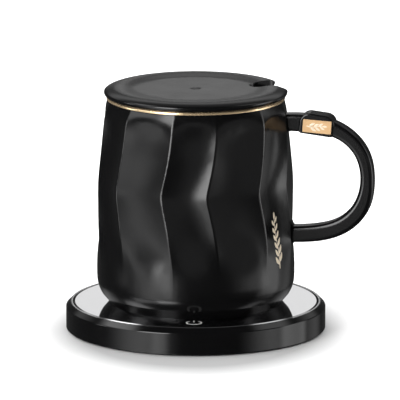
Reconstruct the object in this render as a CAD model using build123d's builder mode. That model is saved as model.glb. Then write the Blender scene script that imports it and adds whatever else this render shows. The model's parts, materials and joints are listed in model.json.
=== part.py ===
"""Electric mug warmer with its own mug and lid.  Millimetres, +Z up.

The origin is the centre of the bottom cover's underside.  The touch key is at
the front, -Y; the power socket is at the back, +Y; the mug's handle points
towards +X, turned a little to the front.
"""
from build123d import *
import os
from math import cos, pi, radians, sin, sqrt

os.makedirs("parts", exist_ok=True)

# ---------------------------------------------------------------- clearances
drop_in_gap = 0.2         # round a piece that drops into its seat
screw_hole_gap = 0.3      # round a screw's shank in a through hole
pilot_gap = 0.05          # round a screw's shank in its pilot hole
screw_tip_gap = 0.2       # below the bottom of a pilot hole
stack_gap = 0.5           # round the heater stack in the shelf's opening

# ---------------------------------------------------------------- warmer case
warmer_radius = 60.0
warmer_height = 12.2      # underside to the face of the glass
edge_chamfer = 2.2        # bevel between the wall and the top
edge_round = 0.5          # at both ends of that bevel
wall = 2.0
shelf_thickness = 1.7
land_width = 0.2          # top of the wall outside the trim ring
cover_thickness = 1.5
skirt_round = 0.4         # bottom edge of the wall

# ---------------------------------------------------------------- top panel
trim_width = 0.8
trim_height = 1.2
panel_groove = 0.6        # open ring round the glass
glass_thickness = 3.0
glass_bevel = 0.35
gasket_thickness = 0.3
gasket_width = 4.5
gasket_inset = 0.4        # in from the edge of the glass

# ---------------------------------------------------------------- heater stack
spreader_inset = 23.5     # in from the outside of the case
spreader_thickness = 1.8
mica_thickness = 0.3
mica_inset = 0.5
track_thickness = 0.2
track_width = 1.7
track_pitch = 3.0
track_inner_radius = 6.0  # the innermost ring is no smaller than this
clamp_thickness = 0.8
clamp_lap = 4.2           # how far the clamp plate laps under the shelf
clamp_screw_count = 4
clamp_rib_inset = 14.5    # in from the spreader's edge
clamp_rib_width = 2.0
clamp_rib_depth = 0.4
pad_inset = 5.5           # in from the spreader's edge
pad_thickness = 1.8

# ---------------------------------------------------------------- electronics
board_thickness = 1.2
board_drop = 2.6          # shelf to board
board_inner_gap = 0.8     # outside the clamp plate
board_outer_gap = 2.0     # inside the wall
board_start = 65.0        # degrees, counter-clockwise from +X
board_end = 295.0
board_screw_angles = (108.0, 180.0, 248.0)
board_post_radius = 2.2
key_gap = 1.0             # between the clamp plate and the touch spring's opening
key_angle = 269.0
spring_radius = 3.4
spring_wire = 0.3         # radius
spring_turns = 3
guide_radius = 2.2
led_size = 1.6
led_height = 0.6
led_gap = 0.3
chip_size = 5.0
chip_height = 1.0
chip_angle = 212.0
transistor_length = 6.0
transistor_width = 5.0
transistor_height = 1.5
transistor_angle = 125.0
capacitor_radius = 2.1
capacitor_height = 2.3
capacitor_angles = (149.0, 157.0)
lead_radius = 0.45
lead_bend = 0.5
lead_gap = 0.1            # under the clamp plate
heater_lead_angles = (170.0, 190.0)
heater_lead_inset = 3.0   # in from the spreader's edge, as are the next two
sensor_inset = 2.5
fuse_inset = 1.5
sensor_angle = 150.0
sensor_radius = 1.2
sensor_height = 1.6
fuse_angle = 212.0
fuse_radius = 1.3
fuse_length = 8.0
fuse_pin_length = 2.0
fuse_clip_width = 3.0
fuse_clip_thickness = 0.3
fuse_clip_foot = 1.6

# ---------------------------------------------------------------- power socket
socket_width = 8.94
socket_height = 3.26
socket_length = 7.3
socket_wall = 0.3
socket_rise = 0.4         # axis above the top of the board
socket_inset = 0.5        # mouth, in from the wall's face
tongue_width = 6.7
tongue_thickness = 0.7
tongue_length = 4.4

# ---------------------------------------------------------------- fasteners
post_inset = 8.0          # posts, feet and board screws, in from the outside of the case
post_radius = 3.0
post_angles = (45.0, 135.0, 225.0, 315.0)
cover_screw_radius = 0.8
cover_screw_length = 4.6
cover_head_radius = 1.8
cover_head_height = 0.9
small_screw_radius = 0.8
small_head_radius = 1.7
small_head_height = 0.9
clamp_screw_length = 2.4
board_screw_length = 3.2

# ---------------------------------------------------------------- rubber feet
foot_radius = 5.0
foot_stands_proud = 0.5
foot_recess = 1.0
foot_cup_wall = 0.5
foot_web = 1.0            # cover under a screw's head
head_pocket = 1.0         # room for a screw's head above the foot
foot_round = 0.3

# ---------------------------------------------------------------- mug
mug_height = 96.8         # foot to rim
foot_ring_inset = 6.3     # in from the belly
foot_bevel_height = 4.7   # straight bevel between the foot and the base curve
foot_bevel_inset = 2.35   # in from the belly, at the bevel's upper edge
base_curve_top = 13.8     # where the base curve meets the belly, above the foot
base_curve_power = 2.4
belly_radius = 45.7
belly_height = 18.0       # from the foot to where the wall starts to taper
neck_radius = 42.3        # where the taper alone would bring the wall, under the lip
taper_power = 2.0
shoulder_height = 7.0     # over which the wall also curves in to the rim
shoulder_power = 2.0
rim_radius = 40.8
lip_height = 1.4          # plain lip above the flutes
lip_proud = 0.3           # beyond the rim radius, and just beyond the ridges
lip_round = 0.9
rim_wall = 3.3
belly_wall = 4.7
mug_floor = 5.0
inside_corner = 12.0
foot_recess_depth = 0.8
foot_ring_width = 5.0

flute_count = 12
flute_depth = 2.3         # ridge to valley
flute_rim_depth = 0.6     # what is left of it under the lip
ridge_share = 0.35        # of that depth, how much the ridges stand out of the wall
flute_top_fade = 10.0     # height over which a flute rises to the lip
flute_bottom_fade = 22.0  # height over which it fades out above the belly
flute_least_depth = 0.03  # what is left of it at the belly
flute_stagger = 1.4       # degrees by which every other ridge stands aside
kink_height = 57.5        # ridges are furthest aside here, above the foot
kink_turn = -6.5          # degrees
kink_round = 3.0          # half height of the rounded bend
ridge_turn = 14.6         # ridge azimuth at the rim, degrees from -Y to +X
ridge_round = 0.55        # half width of a ridge's rounded crest

# ---------------------------------------------------------------- handle
handle_turn = -10.0       # degrees from +X, towards the front
handle_width = 8.5
handle_round = 1.9
handle_reach = 83.3       # outermost point, from the mug's axis
handle_thickness = 6.2    # at the outermost point
handle_top = 89.4         # top of the upper arm, above the foot
handle_bottom = 29.9      # underside of the lower arm, above the foot
upper_arm_thickness = 7.4
lower_arm_thickness = 7.1
grip_belly = 0.5          # the outermost point, above the middle of the two arms
# Points of the handle's outline, each in from the outermost point of its own
# line, and down from the upper arm or up from the lower one.
outer_shoulder = ((27.3, 0.0), (12.1, 5.5), (2.5, 16.5))
outer_heel = ((3.6, 13.9), (14.3, 4.3), (31.3, 0.2))
inner_heel = ((21.0, 1.3), (8.7, 5.7), (2.5, 13.0))
inner_shoulder = ((3.0, 9.9), (9.2, 3.9), (19.8, 0.6))
root_flare = 2.2
block_length = 16.4       # block on the upper arm
block_height = 9.8
block_centre = 57.0       # from the mug's axis
block_level = 85.6        # its middle, above the foot
block_proud = 0.5         # beyond each side of the arm
block_round = 0.9
block_shoulder = 4.5      # corner radius along its top
block_heel = 1.5          # and along its underside
block_tilt = -6.8
plate_length = 13.2
plate_height = 6.0
plate_thickness = 0.6
plate_proud = 0.15
plate_tilt = -3.5
plate_centre = 57.3       # from the mug's axis
plate_level = 84.9

# ---------------------------------------------------------------- lid
lid_overhang = 1.5        # beyond the mug's rim
lid_edge_height = 1.8     # underside to the widest point
lid_height = 3.9          # underside to the crown
lid_crown_inset = 6.8     # in from the lid's edge
lid_dish_radius = 26.0
lid_dish_depth = 0.8
lid_dimple_radius = 3.0
lid_dimple_depth = 0.35
lid_underside_inset = 1.7 # in from the lid's edge
lid_plug_gap = 0.6        # plug ring inside the mug's mouth
lid_plug_depth = 3.6
lid_plug_width = 3.6
lid_thickness = 3.3       # under the dish
notch_turn = 15.0         # degrees from +X, towards the back
notch_end = 25.6          # radius of the notch's inner end
notch_width = 10.8
notch_mouth = 13.4
notch_corner = 4.0

# ---------------------------------------------------------------- levels
glass_bottom = warmer_height - glass_thickness
shelf_top = glass_bottom - gasket_thickness
shelf_bottom = shelf_top - shelf_thickness
spreader_bottom = glass_bottom - spreader_thickness
track_top = spreader_bottom - mica_thickness
track_bottom = track_top - track_thickness
clamp_top = track_bottom - mica_thickness
clamp_bottom = clamp_top - clamp_thickness
pad_bottom = clamp_bottom - pad_thickness
board_top = shelf_bottom - board_drop
board_bottom = board_top - board_thickness
cup_top = foot_recess + head_pocket + foot_web
socket_axis = board_top + socket_rise

# ---------------------------------------------------------------- radii
spreader_radius = warmer_radius - spreader_inset
post_circle_radius = warmer_radius - post_inset
wall_inside = warmer_radius - wall
trim_outside = warmer_radius - edge_chamfer - land_width
trim_inside = trim_outside - trim_width
glass_radius = trim_inside - panel_groove
shelf_opening = spreader_radius + stack_gap
clamp_radius = shelf_opening + clamp_lap
clamp_screw_radius = shelf_opening + clamp_lap / 2
board_inside = clamp_radius + board_inner_gap
board_outside = wall_inside - board_outer_gap
cover_radius = wall_inside - drop_in_gap
key_radius = clamp_radius + key_gap + stack_gap + spring_radius + spring_wire
foot_ring_radius = belly_radius - foot_ring_inset
foot_bevel_radius = belly_radius - foot_bevel_inset
lid_radius = rim_radius + lid_overhang
lid_crown_radius = lid_radius - lid_crown_inset
lid_underside_radius = lid_radius - lid_underside_inset


def polar(radius, angle, height=0.0):
    """A point on a circle, with its angle in degrees from +X."""
    return (radius * cos(radians(angle)), radius * sin(radians(angle)), height)


def disc(radius, bottom, thickness, hole=0.0):
    """A flat disc or ring."""
    with BuildPart() as plate:
        with BuildSketch(Plane.XY.offset(bottom)):
            Circle(radius)
            if hole > 0:
                Circle(hole, mode=Mode.SUBTRACT)
        extrude(amount=thickness)
    return plate


def pan_screw(shank_radius, length, head_radius, head_height):
    """A screw standing on its head, with its seat at z = 0."""
    with BuildPart(mode=Mode.PRIVATE) as screw:
        Cylinder(shank_radius, length, align=(Align.CENTER, Align.CENTER, Align.MIN))
        Cylinder(head_radius, head_height, align=(Align.CENTER, Align.CENTER, Align.MAX))
        fillet(screw.edges().filter_by(GeomType.CIRCLE).sort_by(Axis.Z)[0], head_height * 0.3)
        with Locations((0, 0, -head_height)):
            Box(head_radius * 1.2, head_radius * 0.25, head_height * 0.8, mode=Mode.SUBTRACT)
            Box(head_radius * 0.25, head_radius * 1.2, head_height * 0.8, mode=Mode.SUBTRACT)
    return screw.part


def screws_at(circle, angles, seat, shank_radius, length, head_radius, head_height):
    """The same screw at several places of a circle, all driven from below."""
    screw = pan_screw(shank_radius, length, head_radius, head_height)
    with BuildPart() as group:
        with Locations(*[polar(circle, angle, seat) for angle in angles]):
            add(screw)
    return group


def save(piece, name):
    """Name a finished piece and write it."""
    piece.part.label = name
    export_step(piece.part, f"parts/{name}.step")


# ================================================================ warmer case
clamp_screw_angles = [45.0 + 360.0 / clamp_screw_count * k for k in range(clamp_screw_count)]

with BuildPart() as top_housing:
    # Turned profile: wall, bevel, trim-ring rebate, glass recess and shelf.
    with BuildSketch(Plane.XZ):
        with BuildLine():
            Polyline(
                (shelf_opening, shelf_top),
                (trim_inside, shelf_top),
                (trim_inside, warmer_height - trim_height),
                (trim_outside, warmer_height - trim_height),
                (trim_outside, warmer_height),
                (warmer_radius - edge_chamfer, warmer_height),
                (warmer_radius, warmer_height - edge_chamfer),
                (warmer_radius, 0),
                (wall_inside, 0),
                (wall_inside, shelf_bottom),
                (shelf_opening, shelf_bottom),
                close=True,
            )
        make_face()
    revolve(axis=Axis.Z)
    widest = top_housing.edges().filter_by(GeomType.CIRCLE).group_by(lambda e: e.radius)[-1]
    fillet(widest.sort_by(Axis.Z)[-1], edge_round)
    widest = top_housing.edges().filter_by(GeomType.CIRCLE).group_by(lambda e: e.radius)[-1]
    fillet(widest.sort_by(Axis.Z)[0], skirt_round)

    # Posts for the cover, bosses for the clamp plate, posts for the board.
    with BuildSketch(Plane.XY.offset(cup_top)):
        with Locations(*[polar(post_circle_radius, angle) for angle in post_angles]):
            Circle(post_radius)
    extrude(amount=shelf_bottom - cup_top)
    with BuildSketch(Plane.XY.offset(clamp_top)):
        with Locations(*[polar(clamp_screw_radius, angle) for angle in clamp_screw_angles]):
            Circle(clamp_lap / 2)
    extrude(amount=shelf_bottom - clamp_top)
    with BuildSketch(Plane.XY.offset(board_top)):
        with Locations(*[polar(post_circle_radius, angle) for angle in board_screw_angles]):
            Circle(board_post_radius)
    extrude(amount=shelf_bottom - board_top)

    # Pilot holes.
    with BuildSketch(Plane.XY.offset(cup_top)):
        with Locations(*[polar(post_circle_radius, angle) for angle in post_angles]):
            Circle(cover_screw_radius + pilot_gap)
    extrude(amount=cover_screw_length - foot_web + screw_tip_gap, mode=Mode.SUBTRACT)
    with BuildSketch(Plane.XY.offset(clamp_top)):
        with Locations(*[polar(clamp_screw_radius, angle) for angle in clamp_screw_angles]):
            Circle(small_screw_radius + pilot_gap)
    extrude(amount=clamp_screw_length - clamp_thickness + screw_tip_gap, mode=Mode.SUBTRACT)
    with BuildSketch(Plane.XY.offset(board_top)):
        with Locations(*[polar(post_circle_radius, angle) for angle in board_screw_angles]):
            Circle(small_screw_radius + pilot_gap)
    extrude(amount=board_screw_length - board_thickness + screw_tip_gap, mode=Mode.SUBTRACT)

    # Opening in the shelf for the touch spring, and the socket's slot in the wall.
    with BuildSketch(Plane.XY.offset(shelf_bottom)):
        with Locations(polar(key_radius, key_angle)):
            Circle(spring_radius + spring_wire + stack_gap)
    extrude(amount=shelf_thickness, mode=Mode.SUBTRACT)
    with BuildSketch(Plane.XZ.offset(-warmer_radius)):
        with Locations((0, socket_axis)):
            SlotOverall(socket_width + 2 * drop_in_gap, socket_height + 2 * drop_in_gap)
    extrude(amount=2 * wall, mode=Mode.SUBTRACT)
save(top_housing, "top_housing")

with BuildPart() as bottom_cover:
    with BuildSketch():
        Circle(cover_radius)
    extrude(amount=cover_thickness)
    foot_places = [polar(post_circle_radius, angle) for angle in post_angles]
    recess_radius = foot_radius + drop_in_gap / 2
    with BuildSketch():
        with Locations(*foot_places):
            Circle(recess_radius + foot_cup_wall)
    extrude(amount=cup_top)
    with BuildSketch():
        with Locations(*foot_places):
            Circle(recess_radius)
    extrude(amount=foot_recess, mode=Mode.SUBTRACT)
    with BuildSketch(Plane.XY.offset(foot_recess)):
        with Locations(*foot_places):
            Circle(cover_head_radius + screw_hole_gap)
    extrude(amount=head_pocket, mode=Mode.SUBTRACT)
    with BuildSketch(Plane.XY.offset(foot_recess + head_pocket)):
        with Locations(*foot_places):
            Circle(cover_screw_radius + screw_hole_gap)
    extrude(amount=foot_web, mode=Mode.SUBTRACT)
    # Keep the cups inside the wall.
    with BuildSketch():
        Circle(cover_radius)
    extrude(amount=cup_top, mode=Mode.INTERSECT)
save(bottom_cover, "bottom_cover")

with BuildPart() as rubber_feet:
    with BuildSketch(Plane.XY.offset(-foot_stands_proud)):
        with Locations(*foot_places):
            Circle(foot_radius)
    extrude(amount=foot_stands_proud + foot_recess)
    fillet(rubber_feet.edges().group_by(Axis.Z)[0], foot_round)
save(rubber_feet, "rubber_feet")

cover_screws = screws_at(post_circle_radius, post_angles, foot_recess + head_pocket, cover_screw_radius,
                         cover_screw_length, cover_head_radius, cover_head_height)
save(cover_screws, "cover_screws")

# ================================================================ top panel
with BuildPart() as trim_ring:
    with BuildSketch(Plane.XY.offset(warmer_height - trim_height)):
        Circle(trim_outside)
        Circle(trim_inside, mode=Mode.SUBTRACT)
    extrude(amount=trim_height)
    chamfer(trim_ring.edges().group_by(Axis.Z)[-1], trim_width / 6)
save(trim_ring, "trim_ring")

with BuildPart() as glass_panel:
    with BuildSketch(Plane.XY.offset(glass_bottom)):
        Circle(glass_radius)
    extrude(amount=glass_thickness)
    chamfer(glass_panel.edges().group_by(Axis.Z)[-1], glass_bevel)
save(glass_panel, "glass_panel")

gasket_outside = glass_radius - gasket_inset
glass_gasket = disc(gasket_outside, shelf_top, gasket_thickness, hole=gasket_outside - gasket_width)
save(glass_gasket, "glass_gasket")

# ================================================================ heater stack
mica_radius = spreader_radius - mica_inset
lead_hole_circle = spreader_radius - heater_lead_inset
lead_holes = [polar(lead_hole_circle, angle) for angle in heater_lead_angles]
lead_hole_radius = lead_radius + screw_hole_gap

heat_spreader = disc(spreader_radius, spreader_bottom, spreader_thickness)
save(heat_spreader, "heat_spreader")

mica_upper = disc(mica_radius, track_top, mica_thickness)
save(mica_upper, "mica_upper")

with BuildPart() as mica_lower:
    with BuildSketch(Plane.XY.offset(clamp_top)):
        Circle(mica_radius)
        with Locations(*lead_holes):
            Circle(lead_hole_radius, mode=Mode.SUBTRACT)
    extrude(amount=mica_thickness)
save(mica_lower, "mica_lower")

outer_ring = lead_hole_circle - track_pitch
track_turns = int((outer_ring - track_inner_radius) / track_pitch) + 1
ring_radii = [outer_ring - track_pitch * k for k in range(track_turns)]
track_gap = 2 * track_pitch
terminal_reach = lead_hole_circle * cos(radians(180 - heater_lead_angles[0]))
terminal_side = lead_hole_circle * sin(radians(heater_lead_angles[0]))

with BuildPart() as heater_element:
    # Concentric rings of foil, opened on the -X side and joined in turn across the
    # gap.  The outer ring ends at one terminal pad; a strip down the gap brings the
    # inner ring out to the other.
    with BuildSketch(Plane.XY.offset(track_bottom)):
        for radius in ring_radii:
            Circle(radius + track_width / 2)
            Circle(radius - track_width / 2, mode=Mode.SUBTRACT)
        Rectangle(spreader_radius, track_gap, align=(Align.MAX, Align.CENTER), mode=Mode.SUBTRACT)
        for k in range(track_turns - 1):
            side = 1 if k % 2 else -1
            with Locations((-(ring_radii[k] + ring_radii[k + 1]) / 2, side * (track_gap + track_width) / 2)):
                Rectangle(track_pitch + track_width, track_width)
        with Locations(*lead_holes):
            Circle(track_width)
        with Locations((-(terminal_reach + outer_ring) / 2, terminal_side)):
            Rectangle(terminal_reach - outer_ring + track_width, track_width)
        inner_ring = ring_radii[-1]
        free_side = 1 if track_turns % 2 == 0 else -1
        with Locations((-(terminal_reach + inner_ring) / 2, 0)):
            Rectangle(terminal_reach - inner_ring + track_width, track_width)
        with Locations((-inner_ring, free_side * track_gap / 4)):
            Rectangle(track_width, track_gap / 2 + track_width)
        with Locations((-terminal_reach, -terminal_side / 2)):
            Rectangle(track_width, terminal_side)
    extrude(amount=track_thickness)
save(heater_element, "heater_element")

with BuildPart() as clamp_plate:
    with BuildSketch(Plane.XY.offset(clamp_bottom)):
        Circle(clamp_radius)
        with Locations(*[polar(clamp_screw_radius, angle) for angle in clamp_screw_angles]):
            Circle(small_screw_radius + screw_hole_gap, mode=Mode.SUBTRACT)
        with Locations(*lead_holes):
            Circle(lead_hole_radius, mode=Mode.SUBTRACT)
        with Locations(polar(spreader_radius - sensor_inset, sensor_angle)):
            Circle(sensor_radius + drop_in_gap, mode=Mode.SUBTRACT)
    extrude(amount=clamp_thickness)
    # A pressed ring stiffens the plate.
    with BuildSketch(Plane.XY.offset(clamp_top)):
        Circle(spreader_radius - clamp_rib_inset)
        Circle(spreader_radius - clamp_rib_inset - clamp_rib_width, mode=Mode.SUBTRACT)
    extrude(amount=-clamp_rib_depth, mode=Mode.SUBTRACT)
save(clamp_plate, "clamp_plate")

clamp_screws = screws_at(clamp_screw_radius, clamp_screw_angles, clamp_bottom, small_screw_radius,
                         clamp_screw_length, small_head_radius, small_head_height)
save(clamp_screws, "clamp_screws")

insulation_pad = disc(spreader_radius - pad_inset, pad_bottom, pad_thickness)
save(insulation_pad, "insulation_pad")

with BuildPart() as temperature_sensor:
    with BuildSketch(Plane.XY.offset(clamp_top - sensor_height)):
        with Locations(polar(spreader_radius - sensor_inset, sensor_angle)):
            Circle(sensor_radius)
    extrude(amount=sensor_height)
    fillet(temperature_sensor.edges().group_by(Axis.Z)[0], sensor_radius / 2)
save(temperature_sensor, "temperature_sensor")

# The fuse lies under the clamp plate, square to the radius through it.
fuse_axis = clamp_bottom - fuse_radius
fuse_plane = Plane(origin=polar(spreader_radius - fuse_inset, fuse_angle, fuse_axis),
                   x_dir=polar(1, fuse_angle), z_dir=polar(1, fuse_angle - 90))
with BuildPart() as thermal_fuse:
    with BuildSketch(fuse_plane.offset(-fuse_length / 2)):
        Circle(fuse_radius)
    extrude(amount=fuse_length)
    fillet(thermal_fuse.edges().filter_by(GeomType.CIRCLE), fuse_radius / 3)
    with BuildSketch(fuse_plane.offset(-fuse_length / 2 - fuse_pin_length)):
        Circle(lead_radius)
    extrude(amount=fuse_length + 2 * fuse_pin_length)
save(thermal_fuse, "thermal_fuse")

with BuildPart() as fuse_clip:
    # A strap round the fuse, open at the top, with a foot on each side.
    with BuildSketch(fuse_plane.offset(-fuse_clip_width / 2)):
        saddle_radius = fuse_radius + fuse_clip_thickness
        upward = (Align.CENTER, Align.MIN)
        Circle(saddle_radius)
        Rectangle(2 * saddle_radius, fuse_radius, align=upward)
        with Locations((0, fuse_radius - fuse_clip_thickness)):
            Rectangle(2 * (saddle_radius + fuse_clip_foot), fuse_clip_thickness, align=upward)
        Circle(fuse_radius, mode=Mode.SUBTRACT)
        Rectangle(2 * fuse_radius, saddle_radius, align=upward, mode=Mode.SUBTRACT)
    extrude(amount=fuse_clip_width)
save(fuse_clip, "fuse_clip")

# ================================================================ control board
with BuildPart() as control_board:
    with BuildSketch(Plane.XY.offset(board_bottom)):
        with BuildLine():
            outer = CenterArc((0, 0), board_outside, board_start, board_end - board_start)
            inner = CenterArc((0, 0), board_inside, board_start, board_end - board_start)
            Line(outer @ 0, inner @ 0)
            Line(outer @ 1, inner @ 1)
        make_face()
        fillet(vertices(), small_head_radius)
        with Locations(*[polar(post_circle_radius, angle) for angle in post_angles]):
            Circle(post_radius + screw_hole_gap, mode=Mode.SUBTRACT)
        with Locations(*[polar(post_circle_radius, angle) for angle in board_screw_angles]):
            Circle(small_screw_radius + screw_hole_gap, mode=Mode.SUBTRACT)
        # The socket sits in a cut-out of the board's back edge.
        socket_inner_end = warmer_radius - socket_inset - socket_length
        with Locations((0, socket_inner_end - drop_in_gap)):
            Rectangle(socket_width + 2 * drop_in_gap, warmer_radius - socket_inner_end,
                      align=(Align.CENTER, Align.MIN), mode=Mode.SUBTRACT)
    extrude(amount=board_thickness)
save(control_board, "control_board")

board_screws = screws_at(post_circle_radius, board_screw_angles, board_bottom, small_screw_radius,
                         board_screw_length, small_head_radius, small_head_height)
save(board_screws, "board_screws")

board_middle = (board_inside + board_outside) / 2


def board_plane(angle, radius=board_middle):
    """A plane on the board's top face whose x runs along the radius."""
    return Plane(origin=polar(radius, angle, board_top), x_dir=polar(1, angle), z_dir=(0, 0, 1))


with BuildPart() as controller_chip:
    with BuildSketch(board_plane(chip_angle)):
        Rectangle(chip_size, chip_size)
    extrude(amount=chip_height)
    chamfer(controller_chip.edges().group_by(Axis.Z)[-1], chip_height / 5)
save(controller_chip, "controller_chip")

with BuildPart() as power_transistor:
    with BuildSketch(board_plane(transistor_angle)):
        Rectangle(transistor_width, transistor_length)
    extrude(amount=transistor_height)
    # The bare tab stands lower than the moulded body.
    with BuildSketch(board_plane(transistor_angle).offset(transistor_height / 3)):
        with Locations((0, transistor_length / 2)):
            Rectangle(transistor_width, transistor_length / 3)
    extrude(amount=transistor_height, mode=Mode.SUBTRACT)
save(power_transistor, "power_transistor")

with BuildPart() as board_capacitors:
    with BuildSketch(Plane.XY.offset(board_top)):
        with Locations(*[polar(board_middle, angle) for angle in capacitor_angles]):
            Circle(capacitor_radius)
    extrude(amount=capacitor_height)
    fillet(board_capacitors.edges().group_by(Axis.Z)[-1], capacitor_radius / 6)
save(board_capacitors, "board_capacitors")

with BuildPart() as touch_spring:
    spring_height = glass_bottom - board_top - 2 * spring_wire
    spring_place = polar(key_radius, key_angle, board_top + spring_wire)
    with BuildLine():
        coil = Helix(spring_height / spring_turns, spring_height, spring_radius, center=spring_place)
    with BuildSketch(Plane(origin=coil @ 0, z_dir=coil % 0)):
        Circle(spring_wire)
    sweep(path=coil)
save(touch_spring, "touch_spring")

key_plane = Plane.XY.offset(board_top)
with BuildPart() as indicator_led:
    with BuildSketch(key_plane):
        with Locations(polar(key_radius, key_angle)):
            Rectangle(led_size, led_size / 2)
    extrude(amount=led_height)
save(indicator_led, "indicator_led")

with BuildPart() as light_guide:
    with BuildSketch(key_plane.offset(led_height + led_gap)):
        with Locations(polar(key_radius, key_angle)):
            Circle(guide_radius)
    extrude(amount=glass_bottom - board_top - led_height - led_gap)
save(light_guide, "light_guide")


def lead(start_radius, start_height, angle):
    """A wire from under the heater, out under the clamp plate and down to the board."""
    run_height = clamp_bottom - lead_gap - lead_radius
    end_radius = board_inside + 2 * lead_radius + drop_in_gap
    turned = Plane(origin=(0, 0, 0), x_dir=polar(1, angle), z_dir=polar(1, angle - 90))
    with BuildPart(mode=Mode.PRIVATE) as wire:
        with BuildLine(turned):
            if start_height > run_height:
                points = [(start_radius, start_height), (start_radius, run_height)]
            else:
                points = [(start_radius, run_height)]
            points += [(end_radius, run_height), (end_radius, board_top)]
            route = FilletPolyline(*points, radius=lead_bend)
        with BuildSketch(Plane(origin=route @ 0, z_dir=route % 0)):
            Circle(lead_radius)
        sweep(path=route)
    return wire.part


with BuildPart() as heater_leads:
    for angle in heater_lead_angles:
        add(lead(lead_hole_circle, track_bottom, angle))
save(heater_leads, "heater_leads")

with BuildPart() as sensor_lead:
    add(lead(spreader_radius - sensor_inset + sensor_radius, 0, sensor_angle))
save(sensor_lead, "sensor_lead")

# ================================================================ power socket
with BuildPart() as power_socket:
    mouth = Plane.XZ.offset(-warmer_radius + socket_inset)
    with BuildSketch(mouth):
        with Locations((0, socket_axis)):
            SlotOverall(socket_width, socket_height)
    extrude(amount=socket_length)
    with BuildSketch(mouth):
        with Locations((0, socket_axis)):
            SlotOverall(socket_width - 2 * socket_wall, socket_height - 2 * socket_wall)
    extrude(amount=socket_length - 2 * socket_wall, mode=Mode.SUBTRACT)
    with BuildSketch(mouth.offset(socket_length - socket_wall)):
        with Locations((0, socket_axis)):
            Rectangle(tongue_width, tongue_thickness)
    extrude(amount=-tongue_length - socket_wall)
save(power_socket, "power_socket")

# ================================================================ mug
mug_bottom = warmer_height
belly_level = mug_bottom + belly_height
kink_level = mug_bottom + kink_height
lip_bottom = mug_bottom + mug_height - lip_height
rim_top = mug_bottom + mug_height
rim_inside = rim_radius - rim_wall
belly_inside = belly_radius - belly_wall


def smooth_step(value):
    """0 below 0, 1 above 1, and a smooth rise between."""
    value = min(max(value, 0.0), 1.0)
    return value * value * (3 - 2 * value)


def wall_radius(height):
    """The wall between ridges and valleys: base curve, belly, taper and shoulder."""
    if height >= belly_level:
        rise = min((height - belly_level) / (lip_bottom - belly_level), 1)
        inward = max(1 - (lip_bottom - height) / shoulder_height, 0)
        taper = (belly_radius - neck_radius) * rise ** taper_power
        return belly_radius - taper - (neck_radius - rim_radius) * inward ** shoulder_power
    bevel_top = mug_bottom + foot_bevel_height
    curve_height = base_curve_top - foot_bevel_height
    curve_depth = belly_radius - foot_bevel_radius
    if height < bevel_top:
        # Below the bevel's edge the curve runs on straight, outside the bevel.
        slope = base_curve_power * curve_depth / curve_height
        return foot_bevel_radius - slope * (bevel_top - height)
    fall = max(mug_bottom + base_curve_top - height, 0) / curve_height
    return belly_radius - curve_depth * fall ** base_curve_power


def ridge_angle(height):
    """How far the ridges stand round the mug at a height, with a rounded kink."""
    from_kink = sqrt((height - kink_level) ** 2 + kink_round ** 2) - kink_round
    half = lip_bottom - kink_level if height > kink_level else kink_level - belly_level
    reach = sqrt(half ** 2 + kink_round ** 2) - kink_round
    return ridge_turn + kink_turn * (1 - min(from_kink / reach, 1)) ** 2


def depth_at(height):
    """Ridge-to-valley depth of the flutes at a height."""
    from_rim = smooth_step((lip_bottom - height) / flute_top_fade)
    from_base = smooth_step((height - belly_level) / flute_bottom_fade)
    full = flute_rim_depth + (flute_depth - flute_rim_depth) * from_rim
    return flute_least_depth + (full - flute_least_depth) * from_base


def fluted_section(height):
    """Rounded ridges joined by hollow arcs, flattening to a circle where the depth is nil."""
    radius = wall_radius(height) + ridge_share * (depth_at(height) - flute_least_depth)
    valley = radius - depth_at(height)
    turn = ridge_angle(height) - 90
    step = 360 / flute_count
    crest = degrees_on(ridge_round, radius)
    # The crest is rounded off by the sharpness that the flutes give it here.
    slope = 4 * depth_at(height) / (radius * radians(step))
    shoulder = radius - ridge_round * slope / 2
    for k in range(flute_count):
        aside = flute_stagger if k % 2 else -flute_stagger
        middle = turn + k * step + aside
        following = turn + (k + 1) * step - aside
        ThreePointArc(polar(shoulder, middle - crest), polar(radius, middle), polar(shoulder, middle + crest))
        ThreePointArc(polar(shoulder, middle + crest), polar(valley, (middle + following) / 2),
                      polar(shoulder, following - crest))


def degrees_on(length, radius):
    """The angle that a short length spans on a circle."""
    return length / radius * 180 / pi


base_shares = (0, 0.13, 0.26, 0.33, 0.43, 0.57, 0.77)
lower_shares = (0, 0.11, 0.24, 0.39, 0.56, 0.73, 0.86, 0.94)
upper_shares = (0, 0.07, 0.16, 0.31, 0.52, 0.72, 0.82, 0.9, 0.96, 1)
section_heights = [mug_bottom + (belly_level - mug_bottom) * share for share in base_shares]
section_heights += [belly_level + (kink_level - belly_level) * share for share in lower_shares]
section_heights += [kink_level + (lip_bottom - kink_level) * share for share in upper_shares]

with BuildPart() as mug_outside:
    # Lofted through sections that turn with the kink in the ridges.
    for height in section_heights:
        with BuildSketch(Plane.XY.offset(height)):
            with BuildLine():
                fluted_section(height)
            make_face()
    loft()
    # The straight bevel above the foot.
    with BuildSketch(Plane.XZ):
        with BuildLine():
            Polyline((foot_ring_radius, mug_bottom), (foot_bevel_radius, mug_bottom + foot_bevel_height),
                     (belly_radius, mug_bottom + foot_bevel_height), (belly_radius, mug_bottom), close=True)
        make_face()
    revolve(axis=Axis.Z, mode=Mode.SUBTRACT)
    # The plain lip that the flutes run out under.
    with BuildSketch(Plane.XY.offset(lip_bottom)):
        Circle(rim_radius + lip_proud)
    extrude(amount=lip_height)
    fillet(mug_outside.faces().sort_by(Axis.Z)[-1].edges(), lip_round)

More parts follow.
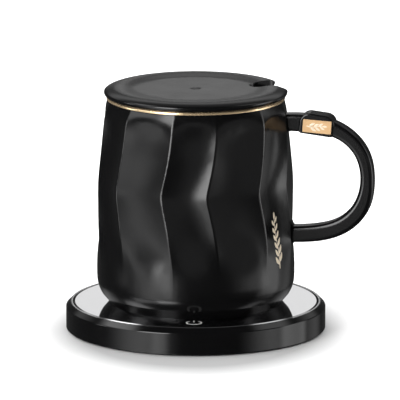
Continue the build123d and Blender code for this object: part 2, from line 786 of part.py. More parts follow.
with BuildPart() as mug_body:
    add(mug_outside.part)
    floor_level = mug_bottom + mug_floor
    with BuildSketch(Plane.XZ):
        with BuildLine():
            corner = CenterArc((belly_inside - inside_corner, floor_level + inside_corner),
                               inside_corner, -90, 90)
            side = Spline(corner @ 1, (rim_inside, lip_bottom), tangents=((0, 1), (0, 1)))
            Polyline(side @ 1, (rim_inside, rim_top), (0, rim_top), (0, floor_level), corner @ 0)
        make_face()
    revolve(axis=Axis.Z, mode=Mode.SUBTRACT)
    with BuildSketch(Plane.XY.offset(mug_bottom)):
        Circle(foot_ring_radius - foot_ring_width)
    extrude(amount=foot_recess_depth, mode=Mode.SUBTRACT)
    inner_lip = mug_body.edges().filter_by(GeomType.CIRCLE).group_by(Axis.Z)[-1].sort_by(lambda e: e.radius)[0]
    fillet(inner_lip, lip_round)
save(mug_body, "mug_body")


# ================================================================ handle
# Drawn in its own upright plane through the mug's axis: x outwards, y up.
handle_plane = Plane(origin=(0, 0, 0), x_dir=polar(1, handle_turn), z_dir=polar(1, handle_turn - 90))
arm_top = mug_bottom + handle_top
arm_bottom = mug_bottom + handle_bottom
root = rim_inside + rim_wall / 2           # inside the wall, where the arms are trimmed
upper_arm_bottom = arm_top - upper_arm_thickness
lower_arm_top = arm_bottom + lower_arm_thickness
grip_middle = (arm_top + arm_bottom) / 2
grip_inside = handle_reach - handle_thickness
block_half_width = handle_width / 2 + block_proud


def root_flare_at(height, side):
    """A hollow fillet in the handle's plane, above (1) or below (-1) an arm's root."""
    wall_face = wall_radius(height) + (ridge_share - 0.5) * flute_depth
    start = height - side * root_flare / 2
    with Locations((root, start)):
        Rectangle(wall_face + root_flare - root, 1.5 * root_flare,
                  align=(Align.MIN, Align.MIN if side > 0 else Align.MAX))
    with Locations((wall_face + root_flare, height + side * root_flare)):
        Circle(root_flare, mode=Mode.SUBTRACT)


with BuildPart() as plate_block:
    # Stands on the upper arm and carries the plate.
    with BuildSketch(handle_plane.offset(-block_half_width)):
        with Locations(Location((block_centre, mug_bottom + block_level), block_tilt)):
            Rectangle(block_length, block_height)
        fillet(vertices().sort_by(Axis.Y)[2:], block_shoulder)
        fillet(vertices().sort_by(Axis.Y)[:2], block_heel)
    extrude(amount=2 * block_half_width)
    fillet(plate_block.faces().filter_by(handle_plane).edges(), block_round)

with BuildPart() as mug_handle:
    with BuildSketch(handle_plane.offset(-handle_width / 2)):
        with BuildLine():
            outer = Spline(
                (root, arm_top),
                *[(handle_reach - inset, arm_top - drop) for inset, drop in outer_shoulder],
                (handle_reach, grip_middle + grip_belly),
                *[(handle_reach - inset, arm_bottom + rise) for inset, rise in outer_heel],
                (root, arm_bottom),
            )
            inner = Spline(
                (root, lower_arm_top),
                *[(grip_inside - inset, lower_arm_top + rise) for inset, rise in inner_heel],
                (grip_inside, grip_middle),
                *[(grip_inside - inset, upper_arm_bottom - drop) for inset, drop in inner_shoulder],
                (root, upper_arm_bottom),
            )
            Line(outer @ 1, inner @ 0)
            Line(inner @ 1, outer @ 0)
        make_face()
    extrude(amount=handle_width)
    fillet(mug_handle.edges().filter_by(lambda edge: edge.length > handle_reach), handle_round)
    add(plate_block.part)
    # Flares where the arms meet the wall.
    with BuildSketch(handle_plane.offset(handle_round - handle_width / 2)):
        root_flare_at(upper_arm_bottom, -1)
    extrude(amount=handle_width - 2 * handle_round)
    with BuildSketch(handle_plane.offset(handle_round - handle_width / 2)):
        root_flare_at(arm_bottom, -1)
    extrude(amount=handle_width - 2 * handle_round)
    with BuildSketch(handle_plane.offset(handle_round - handle_width / 2)):
        root_flare_at(lower_arm_top, 1)
    extrude(amount=handle_width - 2 * handle_round)
    # Seat for the plate, on the side that faces the front.
    with BuildSketch(handle_plane.offset(block_half_width + plate_proud - plate_thickness)):
        with Locations(Location((plate_centre, mug_bottom + plate_level), plate_tilt)):
            Rectangle(plate_length + drop_in_gap, plate_height + drop_in_gap)
    extrude(amount=plate_thickness, mode=Mode.SUBTRACT)
    # Both arms end on the fluted wall.
    add(mug_outside.part, mode=Mode.SUBTRACT)
save(mug_handle, "mug_handle")

with BuildPart() as handle_plate:
    with BuildSketch(handle_plane.offset(block_half_width + plate_proud - plate_thickness)):
        with Locations(Location((plate_centre, mug_bottom + plate_level), plate_tilt)):
            Rectangle(plate_length, plate_height)
        fillet(vertices(), plate_thickness / 2)
    extrude(amount=plate_thickness)
save(handle_plate, "handle_plate")

# ================================================================ lid
lid_edge_level = rim_top + lid_edge_height
lid_crown_level = rim_top + lid_height
lid_dish_level = lid_crown_level - lid_dish_depth
plug_outside = rim_inside - lid_plug_gap
plug_inside = plug_outside - lid_plug_width
plug_bottom = rim_top - lid_plug_depth
ceiling = lid_dish_level - lid_thickness

with BuildPart() as lid:
    with BuildSketch(Plane.XZ):
        with BuildLine():
            dimple = Spline((0, lid_dish_level - lid_dimple_depth), (lid_dimple_radius, lid_dish_level),
                            tangents=((1, 0), (1, 0)))
            dish = Line(dimple @ 1, (lid_dish_radius, lid_dish_level))
            brow = Spline(dish @ 1, (lid_crown_radius, lid_crown_level), tangents=((1, 0), (1, 0)))
            bullnose = EllipticalCenterArc((lid_crown_radius, lid_edge_level), lid_radius - lid_crown_radius,
                                           lid_crown_level - lid_edge_level, start_angle=0, arc_size=90)
            tuck = EllipticalCenterArc((lid_underside_radius, lid_edge_level), lid_radius - lid_underside_radius,
                                       lid_edge_height, start_angle=270, arc_size=90)
            Polyline(tuck @ 0, (plug_outside, rim_top), (plug_outside, plug_bottom), (plug_inside, plug_bottom),
                     (plug_inside, ceiling), (0, ceiling), dimple @ 0)
        make_face()
    revolve(axis=Axis.Z)
    plug_edges = lid.edges().filter_by(GeomType.CIRCLE).group_by(Axis.Z)[0]
    fillet(plug_edges, lid_plug_width / 5)

    # The spoon notch: a round inner end, flaring to rounded corners at the edge.
    notch_plane = Plane(origin=(0, 0, plug_bottom), x_dir=polar(1, notch_turn), z_dir=(0, 0, 1))
    with BuildSketch(notch_plane):
        with BuildLine():
            end_middle = notch_end + notch_width / 2
            corner_start = lid_radius - 1.3 * notch_corner
            mouth_half = notch_mouth / 2
            ThreePointArc((end_middle, -notch_width / 2), (notch_end, 0), (end_middle, notch_width / 2))
            corner_end = (corner_start + notch_corner, mouth_half + notch_corner)
            Line((end_middle, notch_width / 2), (corner_start, mouth_half))
            RadiusArc((corner_start, mouth_half), corner_end, notch_corner)
            Polyline(corner_end, (lid_radius + notch_corner, corner_end[1]),
                     (lid_radius + notch_corner, -corner_end[1]), (corner_end[0], -corner_end[1]))
            RadiusArc((corner_end[0], -corner_end[1]), (corner_start, -mouth_half), notch_corner)
            Line((corner_start, -mouth_half), (end_middle, -notch_width / 2))
        make_face()
    extrude(amount=lid_plug_depth + lid_height + lid_edge_height, mode=Mode.SUBTRACT)
save(lid, "lid")
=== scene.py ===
"""The looks of a mug warmer with its mug and lid.  Metres, in the CAD's own frame.

The CAD nodes carry every form.  This script gives each of them its material and
adds the gilt line, the two sprigs and the key's symbol, which are too thin to be
solids.  The light is a studio of soft boxes painted into the world.
"""
import json
from math import cos, degrees, pi, radians, sin

import bpy
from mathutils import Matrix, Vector
from mathutils.bvhtree import BVHTree

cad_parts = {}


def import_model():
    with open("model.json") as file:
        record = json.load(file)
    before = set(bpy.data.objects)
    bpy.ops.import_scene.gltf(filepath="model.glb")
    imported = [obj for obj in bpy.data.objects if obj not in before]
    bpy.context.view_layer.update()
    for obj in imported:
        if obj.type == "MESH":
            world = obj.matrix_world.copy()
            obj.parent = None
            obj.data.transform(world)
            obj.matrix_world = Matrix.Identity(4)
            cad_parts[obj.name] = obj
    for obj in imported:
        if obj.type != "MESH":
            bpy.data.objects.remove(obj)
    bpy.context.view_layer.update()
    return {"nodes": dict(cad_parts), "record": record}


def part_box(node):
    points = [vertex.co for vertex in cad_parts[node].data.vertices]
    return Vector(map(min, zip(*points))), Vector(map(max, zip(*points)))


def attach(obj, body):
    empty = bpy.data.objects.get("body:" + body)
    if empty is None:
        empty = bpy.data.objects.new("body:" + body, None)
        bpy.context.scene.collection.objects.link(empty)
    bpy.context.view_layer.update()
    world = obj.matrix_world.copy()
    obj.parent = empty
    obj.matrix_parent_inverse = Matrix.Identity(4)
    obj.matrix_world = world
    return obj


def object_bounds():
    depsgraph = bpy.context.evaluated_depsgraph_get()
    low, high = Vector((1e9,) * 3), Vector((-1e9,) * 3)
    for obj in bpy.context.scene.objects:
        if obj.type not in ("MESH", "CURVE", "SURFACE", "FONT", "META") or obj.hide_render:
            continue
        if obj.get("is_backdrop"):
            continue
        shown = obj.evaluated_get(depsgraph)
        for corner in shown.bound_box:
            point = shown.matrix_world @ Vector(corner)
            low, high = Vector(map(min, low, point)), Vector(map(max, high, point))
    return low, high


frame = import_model()

MM = 0.001

# ---------------------------------------------------------------- camera
CAMERA_ELEVATION = 12.15                    # degrees above the horizon
CAMERA_DISTANCE = 3.6
CAMERA_AIM = Vector((1.95, 0, 59.6)) * MM
CAMERA_LENS = 702.0                         # millimetres, on a 36 mm sensor
CAMERA_CLIP = (0.1, 20.0)

# Rays that find a surface start this far from the axis or the piece's middle.
CAST_REACH = 60.0 * MM

# ---------------------------------------------------------------- gilt line on the mug's lip
GILT_LOWEST = 107.75 * MM
GILT_HIGHEST = 108.9 * MM
GILT_ROWS = 8
GILT_COLUMNS = 360
GILT_THICKNESS = 0.04 * MM

# ---------------------------------------------------------------- sprig on the mug's side
SPRIG_ANGLE = 56.7                          # degrees from -Y towards +X, at its middle
SPRIG_LEVEL = 46.0 * MM
SPRIG_LENGTH = 27.0 * MM
SPRIG_LEAN = 4.7                            # degrees, its top towards the front
SPRIG_LEAF = 5.0 * MM
SPRIG_PAIRS = 6
SPRIG_RISE = 0.07 * MM

# ---------------------------------------------------------------- sprig on the handle's plate
HANDLE_ANGLE = 80.0                         # degrees from -Y towards +X
PLATE_TILT = -3.5
PLATE_SPRIG_LENGTH = 9.6 * MM
PLATE_SPRIG_LEAF = 3.3 * MM
PLATE_SPRIG_PAIRS = 3
PLATE_SPRIG_RISE = 0.08 * MM

# ---------------------------------------------------------------- touch key's symbol
KEY_RING = 3.35 * MM
KEY_LINE = 0.8 * MM
KEY_GAP = 36.0                              # half the ring's opening, in degrees
KEY_BAR = (1.2 * MM, 4.1 * MM)              # from the middle towards the back
KEY_RISE = 0.03 * MM
KEY_STEPS = 48
KEY_BAR_STEPS = 4

# ---------------------------------------------------------------- leaves and stems
ACROSS = (-1.0, -0.6, 0.0, 0.6, 1.0)        # points across a stroke, as shares of its half width
LEAF_STEPS = 9
LEAF_BEND = 0.3                             # share of its heading that a leaf loses at its tip
LEAF_WIDTH = 0.17                           # half of it, as a share of the length
LEAF_POINT = 0.02                           # half width left at both ends, as a share of the length
LEAF_FULLNESS = 0.8                         # below 1, the leaf is fuller towards its ends
LEAF_HEADING = 48.0
LEAF_SHRINK = 0.35                          # from the foot of the stem to its tip
STEM_STEPS = 24
STEM_SWAY = 0.12                            # sideways, as a share of a leaf
STEM_WIDTH = 0.075                          # half of it, as a share of a leaf
STEM_TAPER = 0.5
FIRST_PAIR = 0.7                            # stem below the first pair, as a share of the pairs' pitch
STAGGER = 0.12                              # between the two leaves of a pair, as a share of their pitch
TIP_LEAF = 0.75                             # length of the leaf at the tip, as a share of the lowest

# ---------------------------------------------------------------- floor, its painted shade and its light
FLOOR_SIZE = 6.0
FLOOR_TONE = (0.59, 0.61)
FLOOR_MOTTLE = 30.0                         # patches per metre
PAINTED_SHADE_OVAL = 1.4                            # the painted shade round the object fades this much sooner to the sides than to the front
PAINTED_SHADE_FADE = (79.0 * MM, 123.0 * MM)        # from the object's axis, the start and end of the fade from painted shade to white
TOP_LIGHT_POWER = 2.6
TOP_LIGHT_ANGLE = 80.0                      # degrees across, so its shadows are very soft
TOP_LIGHT_TILT = (-28.0, 3.0)               # degrees about X and Y: it comes a little from behind

# ---------------------------------------------------------------- noise in the materials
NOISE_SPREAD = (0.3, 0.7)                   # between these lie nearly all of a Noise texture's values
GRAIN_HEIGHT = 0.01 * MM


# ================================================================ node helpers
def node_tree(owner):
    """An empty node tree for a material or a world."""
    owner.use_nodes = True
    tree = owner.node_tree
    tree.nodes.clear()
    return tree


def add_node(tree, kind, inputs=None, **settings):
    """One node, with its settings and the values or links of its inputs."""
    node = tree.nodes.new(kind)
    for name, value in settings.items():
        setattr(node, name, value)
    for name, value in (inputs or {}).items():
        if isinstance(value, bpy.types.NodeSocket):
            tree.links.new(value, node.inputs[name])
        else:
            node.inputs[name].default_value = value
    return node


def math(tree, operation, *values):
    """The output of a Math node."""
    node = add_node(tree, "ShaderNodeMath", dict(enumerate(values)), operation=operation)
    return node.outputs[0]


def ramp(tree, value, low, high, out_low=0.0, out_high=1.0, smooth=False):
    """A value moved from one range to another."""
    node = add_node(tree, "ShaderNodeMapRange", {
        "Value": value, "From Min": low, "From Max": high, "To Min": out_low, "To Max": out_high,
    }, interpolation_type="SMOOTHSTEP" if smooth else "LINEAR")
    return node.outputs["Result"]


def noise(tree, place, scale, detail=2.0, roughness=0.5):
    """The factor of a Noise texture, of about that many cells per metre."""
    node = add_node(tree, "ShaderNodeTexNoise", {
        "Vector": place, "Scale": scale, "Detail": detail, "Roughness": roughness})
    return node.outputs["Fac"]


# ================================================================ materials
def surface(name, colour, roughness, metallic=0.0, tint=0.12, tint_scale=60.0, wear=0.04, wear_scale=180.0,
            grain=0.1, grain_scale=2500.0, stretch=(1.0, 1.0, 1.0), ior=1.5):
    """A material whose colour, gloss and relief vary as the real finish does.

    tint and wear are how far the colour and the roughness stray from their means;
    grain is the height of the relief, as a share of GRAIN_HEIGHT.  The scales are
    the noise's cells per metre, and stretch multiplies them along each axis.
    """
    material = bpy.data.materials.new(name)
    tree = node_tree(material)
    place = add_node(tree, "ShaderNodeTexCoord").outputs["Object"]
    stretched = add_node(tree, "ShaderNodeMapping", {"Vector": place, "Scale": stretch}).outputs["Vector"]
    patches = noise(tree, stretched, tint_scale, detail=3.0)
    paler = [min(channel * (1 + tint), 1.0) for channel in colour]
    darker = [channel * (1 - tint) for channel in colour]
    mixed = add_node(tree, "ShaderNodeMix", {"Factor": patches, "A": (*darker, 1), "B": (*paler, 1)},
                     data_type="RGBA")
    rubbed = ramp(tree, noise(tree, stretched, wear_scale, detail=4.0), *NOISE_SPREAD,
                  roughness - wear, roughness + wear)
    relief = noise(tree, stretched, grain_scale, detail=3.0)
    bump = add_node(tree, "ShaderNodeBump", {
        "Strength": 1.0, "Distance": grain * GRAIN_HEIGHT, "Height": relief,
    })
    shader = add_node(tree, "ShaderNodeBsdfPrincipled", {
        "Base Color": mixed.outputs["Result"], "Roughness": rubbed, "Normal": bump.outputs["Normal"],
        "Metallic": metallic, "IOR": ior,
    })
    add_node(tree, "ShaderNodeOutputMaterial", {"Surface": shader.outputs["BSDF"]})
    return material


MATERIALS = {
    # slot: colour, roughness and what else the finish needs
    "gloss_black_case": dict(colour=(0.002, 0.002, 0.0022), roughness=0.11, wear=0.015, grain=0.02),
    "black_cover": dict(colour=(0.02, 0.02, 0.021), roughness=0.55, grain=1.5, grain_scale=1500.0),
    "foot_rubber": dict(colour=(0.03, 0.03, 0.03), roughness=0.8, grain=1.0),
    "mirror_glass": dict(colour=(0.74, 0.74, 0.75), roughness=0.035, metallic=1.0, tint=0.01, wear=0.01,
                         grain=0.0),
    "bright_trim": dict(colour=(0.72, 0.72, 0.73), roughness=0.16, metallic=1.0, tint=0.03,
                        stretch=(1.0, 1.0, 12.0)),
    "gasket": dict(colour=(0.02, 0.02, 0.02), roughness=0.9, grain=1.5),
    "spreader_metal": dict(colour=(0.78, 0.78, 0.79), roughness=0.42, metallic=1.0, tint=0.04, grain=1.0),
    "pressed_steel": dict(colour=(0.6, 0.6, 0.62), roughness=0.32, metallic=1.0, stretch=(1.0, 14.0, 1.0)),
    "mica": dict(colour=(0.6, 0.5, 0.32), roughness=0.35, tint=0.25, tint_scale=700.0, grain=1.0),
    "heating_foil": dict(colour=(0.45, 0.4, 0.34), roughness=0.35, metallic=1.0),
    "fibre_pad": dict(colour=(0.8, 0.79, 0.74), roughness=0.95, tint=0.08, tint_scale=900.0, grain=6.0),
    "screw_steel": dict(colour=(0.5, 0.5, 0.52), roughness=0.3, metallic=1.0),
    "board": dict(colour=(0.01, 0.11, 0.035), roughness=0.35, tint=0.3, tint_scale=350.0),
    "chip_black": dict(colour=(0.02, 0.02, 0.02), roughness=0.6, grain=1.0),
    "capacitor_can": dict(colour=(0.72, 0.72, 0.74), roughness=0.3, metallic=1.0, stretch=(1.0, 1.0, 8.0)),
    "spring_steel": dict(colour=(0.62, 0.6, 0.55), roughness=0.25, metallic=1.0),
    "clear_guide": dict(colour=(0.85, 0.86, 0.86), roughness=0.2, tint=0.02),
    "led_white": dict(colour=(0.9, 0.9, 0.88), roughness=0.25, tint=0.02),
    "sensor_resin": dict(colour=(0.09, 0.015, 0.012), roughness=0.3),
    "fuse_body": dict(colour=(0.7, 0.66, 0.56), roughness=0.5),
    "wire_sleeve": dict(colour=(0.5, 0.015, 0.012), roughness=0.5),
    "socket_shell": dict(colour=(0.6, 0.6, 0.61), roughness=0.22, metallic=1.0),
    "black_glaze": dict(colour=(0.002, 0.002, 0.0022), roughness=0.2, tint=0.2, tint_scale=90.0, wear=0.015,
                        wear_scale=60.0, grain=0.06, grain_scale=1400.0),
    "gilt_plate": dict(colour=(0.86, 0.55, 0.28), roughness=0.3, metallic=0.3, tint=0.14, tint_scale=160.0,
                       stretch=(1.0, 1.0, 0.25)),
    # two more looks of the gilding: the line on the lip and the printed sprigs
    "gilt_line": dict(colour=(0.9, 0.68, 0.42), roughness=0.25, metallic=0.8, tint=0.1, tint_scale=200.0),
    "gilt_print": dict(colour=(0.98, 0.84, 0.64), roughness=0.4, metallic=0.1, tint=0.02, tint_scale=400.0),
}
made_materials = {slot: surface(slot, **finish) for slot, finish in MATERIALS.items()}


def dress(piece, slot):
    """Give a piece the material of a slot."""
    piece.data.materials.clear()
    piece.data.materials.append(made_materials[slot])


for subpart in frame["record"]["subparts"]:
    dress(frame["nodes"][subpart["node"]], subpart["material_slot"])


# ================================================================ thin pieces on the CAD's surfaces
def caster(*nodes):
    """A function that casts a ray at CAD nodes and gives the point and the normal it meets."""
    trees = []
    for name in nodes:
        mesh = frame["nodes"][name].data
        trees.append(BVHTree.FromPolygons([v.co for v in mesh.vertices], [p.vertices[:] for p in mesh.polygons]))

    def cast(start, direction):
        hits = [tree.ray_cast(start, direction) for tree in trees]
        hits = [hit for hit in hits if hit[0] is not None]
        nearest = min(hits, key=lambda hit: hit[3])
        return nearest[0], nearest[1]

    return cast


def mesh_piece(name, points, faces, body, slot, look=None):
    """A mesh that rides on a body, with its slot's finish or another look."""
    mesh = bpy.data.meshes.new(name)
    mesh.from_pydata(points, [], faces)
    mesh.validate()
    mesh.update()
    piece = bpy.data.objects.new(name, mesh)
    bpy.context.scene.collection.objects.link(piece)
    dress(piece, look or slot)
    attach(piece, body)
    return piece


def around(angle):
    """The level direction at an angle from -Y towards +X, in degrees."""
    return Vector((sin(radians(angle)), -cos(radians(angle)), 0))


def gilt_line():
    """The gold line round the mug's lip."""
    cast = caster("mug_body")
    points = []
    for column in range(GILT_COLUMNS):
        outward = around(360 * column / GILT_COLUMNS)
        for row in range(GILT_ROWS):
            level = GILT_LOWEST + (GILT_HIGHEST - GILT_LOWEST) * row / (GILT_ROWS - 1)
            hit, normal = cast(outward * CAST_REACH + Vector((0, 0, level)), -outward)
            points.append(hit + normal * GILT_THICKNESS)
    faces = []
    for column in range(GILT_COLUMNS):
        here = column * GILT_ROWS
        after = (column + 1) % GILT_COLUMNS * GILT_ROWS
        for row in range(GILT_ROWS - 1):
            faces.append((here + row, after + row, after + row + 1, here + row + 1))
    line = mesh_piece("gilt_rim_line", points, faces, "mug", "gilt_plate", "gilt_line")
    for face in line.data.polygons:
        face.use_smooth = True


def band(path, half_width):
    """Rows of points across a stroke; half_width is a function of the share run along it."""
    rows = []
    for index, point in enumerate(path):
        along = path[min(index + 1, len(path) - 1)] - path[max(index - 1, 0)]
        across = Vector((-along.y, along.x)).normalized()
        half = half_width(index / (len(path) - 1))
        rows.append([point + across * half * side for side in ACROSS])
    return rows


def leaf(base, heading, length):
    """A pointed leaf that grows from a point, its heading in degrees from the pattern's up."""
    path = []
    for step in range(LEAF_STEPS):
        share = step / (LEAF_STEPS - 1)
        bent = radians(heading * (1 - LEAF_BEND * share))
        path.append(base + Vector((sin(bent), cos(bent))) * length * share)
    return band(path, lambda share: length * (LEAF_POINT + LEAF_WIDTH * sin(pi * share) ** LEAF_FULLNESS))


def sprig(length, leaf_length, pairs):
    """A stem that leans in a gentle curve, with pairs of leaves and one at its tip."""
    def stem_point(share):
        return Vector((leaf_length * STEM_SWAY * sin(2 * pi * share), length * (share - 0.5)))

    tip = 1 - TIP_LEAF * leaf_length / length
    stem = [stem_point(tip * step / (STEM_STEPS - 1)) for step in range(STEM_STEPS)]
    strips = [band(stem, lambda share: leaf_length * STEM_WIDTH * (1 - STEM_TAPER * share))]
    for pair in range(pairs):
        share = (pair + FIRST_PAIR) / (pairs + 1 - FIRST_PAIR) * tip
        size = leaf_length * (1 - LEAF_SHRINK * share)
        for side in (-1, 1):
            strips.append(leaf(stem_point(share + side * STAGGER / pairs), side * LEAF_HEADING, size))
    strips.append(leaf(stem[-1], 0.0, leaf_length * TIP_LEAF))
    return strips


def relief(name, strips, place, rise, body, slot, look=None):
    """Low domed strips on a surface; place(point, rise) puts a point of the pattern on it."""
    points, faces = [], []
    for rows in strips:
        for number, row in enumerate(rows):
            for index, point in enumerate(row):
                share = index / (len(row) - 1)
                end = 0.0 if number in (0, len(rows) - 1) else 1.0
                points.append(place(point, rise * end * 4 * share * (1 - share)))
        first = len(points) - len(rows) * len(rows[0])
        width = len(rows[0])
        for number in range(len(rows) - 1):
            for index in range(width - 1):
                corner = first + number * width + index
                faces.append((corner, corner + 1, corner + width + 1, corner + width))
    piece = mesh_piece(name, points, faces, body, slot, look)
    for face in piece.data.polygons:
        face.use_smooth = True
    return piece


def turned(point, angle):
    """A pattern's point turned anticlockwise by an angle in degrees."""
    turn = radians(angle)
    return Vector((point.x * cos(turn) - point.y * sin(turn), point.x * sin(turn) + point.y * cos(turn)))


def side_sprig():
    """The gold sprig on the mug's side."""
    cast = caster("mug_body")
    low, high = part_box("mug_body")
    radius = (high.x - low.x) / 2

    def place(point, rise):
        moved = turned(point, SPRIG_LEAN)
        outward = around(SPRIG_ANGLE + degrees(moved.x / radius))
        hit, normal = cast(outward * CAST_REACH + Vector((0, 0, SPRIG_LEVEL + moved.y)), -outward)
        return hit + normal * rise

    strips = sprig(SPRIG_LENGTH, SPRIG_LEAF, SPRIG_PAIRS)
    relief("side_sprig", strips, place, SPRIG_RISE, "mug", "gilt_plate", "gilt_print")


def plate_sprig():
    """The small sprig that lies along the handle's plate."""
    cast = caster("handle_plate")
    low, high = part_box("handle_plate")
    outward = around(HANDLE_ANGLE)
    forward = around(HANDLE_ANGLE - 90)

    def place(point, rise):
        moved = turned(point, PLATE_TILT - 90)
        start = (low + high) / 2 + outward * moved.x + Vector((0, 0, moved.y)) + forward * CAST_REACH
        hit, normal = cast(start, -forward)
        return hit + normal * rise

    strips = sprig(PLATE_SPRIG_LENGTH, PLATE_SPRIG_LEAF, PLATE_SPRIG_PAIRS)
    relief("plate_sprig", strips, place, PLATE_SPRIG_RISE, "mug", "gilt_plate", "gilt_print")


def key_symbol():
    """The power symbol over the touch key: an open ring with a bar in its opening."""
    low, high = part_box("light_guide")
    middle = (low + high) / 2
    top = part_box("glass_panel")[1].z

    def place(point, rise):
        return Vector((middle.x + point.x, middle.y + point.y, top + rise))

    ring = [turned(Vector((0, KEY_RING)), KEY_GAP + (360 - 2 * KEY_GAP) * step / (KEY_STEPS - 1))
            for step in range(KEY_STEPS)]
    bar = [Vector((0, KEY_BAR[0] + (KEY_BAR[1] - KEY_BAR[0]) * step / (KEY_BAR_STEPS - 1)))
           for step in range(KEY_BAR_STEPS)]
    strips = [band(ring, lambda share: KEY_LINE / 2), band(bar, lambda share: KEY_LINE / 2)]
    relief("key_symbol", strips, place, KEY_RISE, "warmer", "led_white")


gilt_line()
side_sprig()
plate_sprig()
key_symbol()


# ================================================================ stage and light
def stage():
    """A pale floor that keeps the top light's shadow of the object, darkened round it by painted shade where its
    white glow is held back, and fades to white away from it.
    """
    bpy.ops.mesh.primitive_plane_add(size=FLOOR_SIZE, location=(0, 0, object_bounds()[0].z))
    floor = bpy.context.object
    floor.name = "floor"
    material = bpy.data.materials.new("pale_floor")
    tree = node_tree(material)
    place = add_node(tree, "ShaderNodeTexCoord").outputs["Object"]
    oval = add_node(tree, "ShaderNodeMapping", {"Vector": place, "Scale": (PAINTED_SHADE_OVAL, 1.0, 1.0)})
    away = add_node(tree, "ShaderNodeVectorMath", {0: oval.outputs["Vector"]}, operation="LENGTH").outputs["Value"]
    # Painted shade: within this oval the floor's white glow is held back, which darkens the floor round the object
    # on top of the top light's real shadow.
    glow_beyond_painted_shade = ramp(tree, away, *PAINTED_SHADE_FADE)
    seen = add_node(tree, "ShaderNodeLightPath").outputs["Is Camera Ray"]
    glow_beyond_painted_shade = math(tree, "MULTIPLY", glow_beyond_painted_shade, seen)
    emission = add_node(tree, "ShaderNodeEmission", {"Color": (1, 1, 1, 1), "Strength": glow_beyond_painted_shade})
    mottle = ramp(tree, noise(tree, place, FLOOR_MOTTLE), *NOISE_SPREAD, *FLOOR_TONE)
    diffuse = add_node(tree, "ShaderNodeBsdfDiffuse", {"Color": mottle})
    both = add_node(tree, "ShaderNodeAddShader", {0: emission.outputs[0], 1: diffuse.outputs[0]})
    add_node(tree, "ShaderNodeOutputMaterial", {"Surface": both.outputs[0]})
    floor.data.materials.append(material)
    floor.visible_glossy = False
    floor.visible_shadow = False
    floor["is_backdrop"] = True


# Soft boxes of the studio: azimuth from the camera's side towards +X and
# elevation, in degrees, with the width of the soft edges, and the strength.
# The ones at the left draw the bright lines on the mug's ridges and the left
# bell of light on the warmer, the ones at the right the right bell, and the
# high ones the bright stretches of its bevel.
SOFT_BOXES = [
    # azimuths, elevations, soft edges, strength
    ((-75, -60), (-9, -4), (7, 5), 1.5),
    ((-62, -40), (-60, -9), (60, 6), 2.4),
    ((-39, -26), (-30, -6), (8, 6), 1.0),
    ((-50, -26), (-8.5, 12), (6, 5), 7.5),
    ((-54, -26), (12, 45), (5, 8), 7.0),
    ((-88, -58), (16, 45), (8, 8), 2.0),
    ((-97, -86), (-9, 12), (6, 4), 4.5),
    ((-120, -92), (42, 64), (12, 10), 2.5),
    ((-14, 66), (-7, 10), (10, 4), 0.2),
    ((56, 86), (-14.5, -10), (40, 2), 1.5),
    ((83, 114), (-26, 30), (9, 18), 1.2),
    ((82, 97), (-10.5, 8), (5, 4), 2.2),
    ((92, 120), (42, 64), (12, 10), 1.0),
    ((114, 140), (-30, -8), (20, 12), 0.35),
]
# These lie alike on both sides of straight behind, which is 180 degrees.
BEHIND_BOXES = [
    ((172, 200), (-4, 9), (10, 6), 0.2),
    ((177.5, 200), (10.5, 14), (2, 2), 0.85),   # the pale backdrop that the mirror glass shows
    ((130, 200), (21, 36), (30, 10), 0.5),
    ((130, 200), (36, 72), (30, 10), 0.12),
]
AMBIENT = 0.05


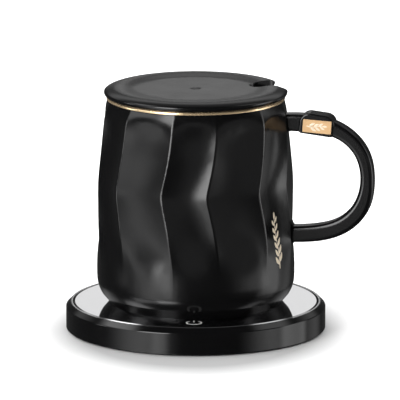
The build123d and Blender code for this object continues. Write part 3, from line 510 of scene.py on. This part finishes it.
def world():
    """White for the camera; soft boxes in a dim room for everything else."""
    scene_world = bpy.data.worlds.new("studio")
    bpy.context.scene.world = scene_world
    tree = node_tree(scene_world)
    direction = add_node(tree, "ShaderNodeTexCoord").outputs["Generated"]
    split = add_node(tree, "ShaderNodeSeparateXYZ", {"Vector": direction})
    x, y, z = (split.outputs[axis] for axis in "XYZ")
    azimuth = math(tree, "ARCTAN2", x, math(tree, "MULTIPLY", y, -1.0))
    elevation = math(tree, "ARCSINE", z)

    def box(angle, azimuths, elevations, edges, strength):
        """The strength between two azimuths and two elevations, with soft edges, and 0 elsewhere."""
        parts = []
        for value, limits, edge in ((angle, azimuths, edges[0]), (elevation, elevations, edges[1])):
            half = radians(edge) / 2
            low, high = (radians(limit) for limit in limits)
            parts.append(ramp(tree, value, low - half, low + half, smooth=True))
            parts.append(ramp(tree, value, high - half, high + half, 1.0, 0.0, smooth=True))
        product = parts[0]
        for part in parts[1:]:
            product = math(tree, "MULTIPLY", product, part)
        return math(tree, "MULTIPLY", product, strength)

    behind = math(tree, "ABSOLUTE", azimuth)
    light = AMBIENT
    for angle, boxes in ((azimuth, SOFT_BOXES), (behind, BEHIND_BOXES)):
        for soft_box in boxes:
            light = math(tree, "ADD", light, box(angle, *soft_box))
    seen = add_node(tree, "ShaderNodeLightPath").outputs["Is Camera Ray"]
    room = add_node(tree, "ShaderNodeBackground", {"Color": (1, 1, 1, 1), "Strength": light})
    white = add_node(tree, "ShaderNodeBackground", {"Color": (1, 1, 1, 1), "Strength": 1.0})
    chosen = add_node(tree, "ShaderNodeMixShader", {0: seen, 1: room.outputs[0], 2: white.outputs[0]})
    add_node(tree, "ShaderNodeOutputWorld", {"Surface": chosen.outputs[0]})


def top_light():
    """A very soft light from above, which makes the shadow on the floor."""
    data = bpy.data.lights.new("top_light", "SUN")
    data.energy = TOP_LIGHT_POWER
    data.angle = radians(TOP_LIGHT_ANGLE)
    lamp = bpy.data.objects.new("top_light", data)
    bpy.context.scene.collection.objects.link(lamp)
    lamp.rotation_euler = (radians(TOP_LIGHT_TILT[0]), radians(TOP_LIGHT_TILT[1]), 0)
    lamp.visible_glossy = False


def camera():
    """The photograph's view: straight at the front, a little from above, through a long lens."""
    data = bpy.data.cameras.new("camera")
    data.lens = CAMERA_LENS
    eye = bpy.data.objects.new("camera", data)
    bpy.context.scene.collection.objects.link(eye)
    tilt = radians(CAMERA_ELEVATION)
    back = Vector((0, -cos(tilt), sin(tilt)))
    eye.location = CAMERA_AIM + back * CAMERA_DISTANCE
    eye.rotation_euler = (pi / 2 - tilt, 0, 0)
    data.clip_start, data.clip_end = CAMERA_CLIP
    bpy.context.scene.camera = eye


stage()
world()
top_light()
camera()
bpy.context.scene.view_settings.view_transform = "Standard"
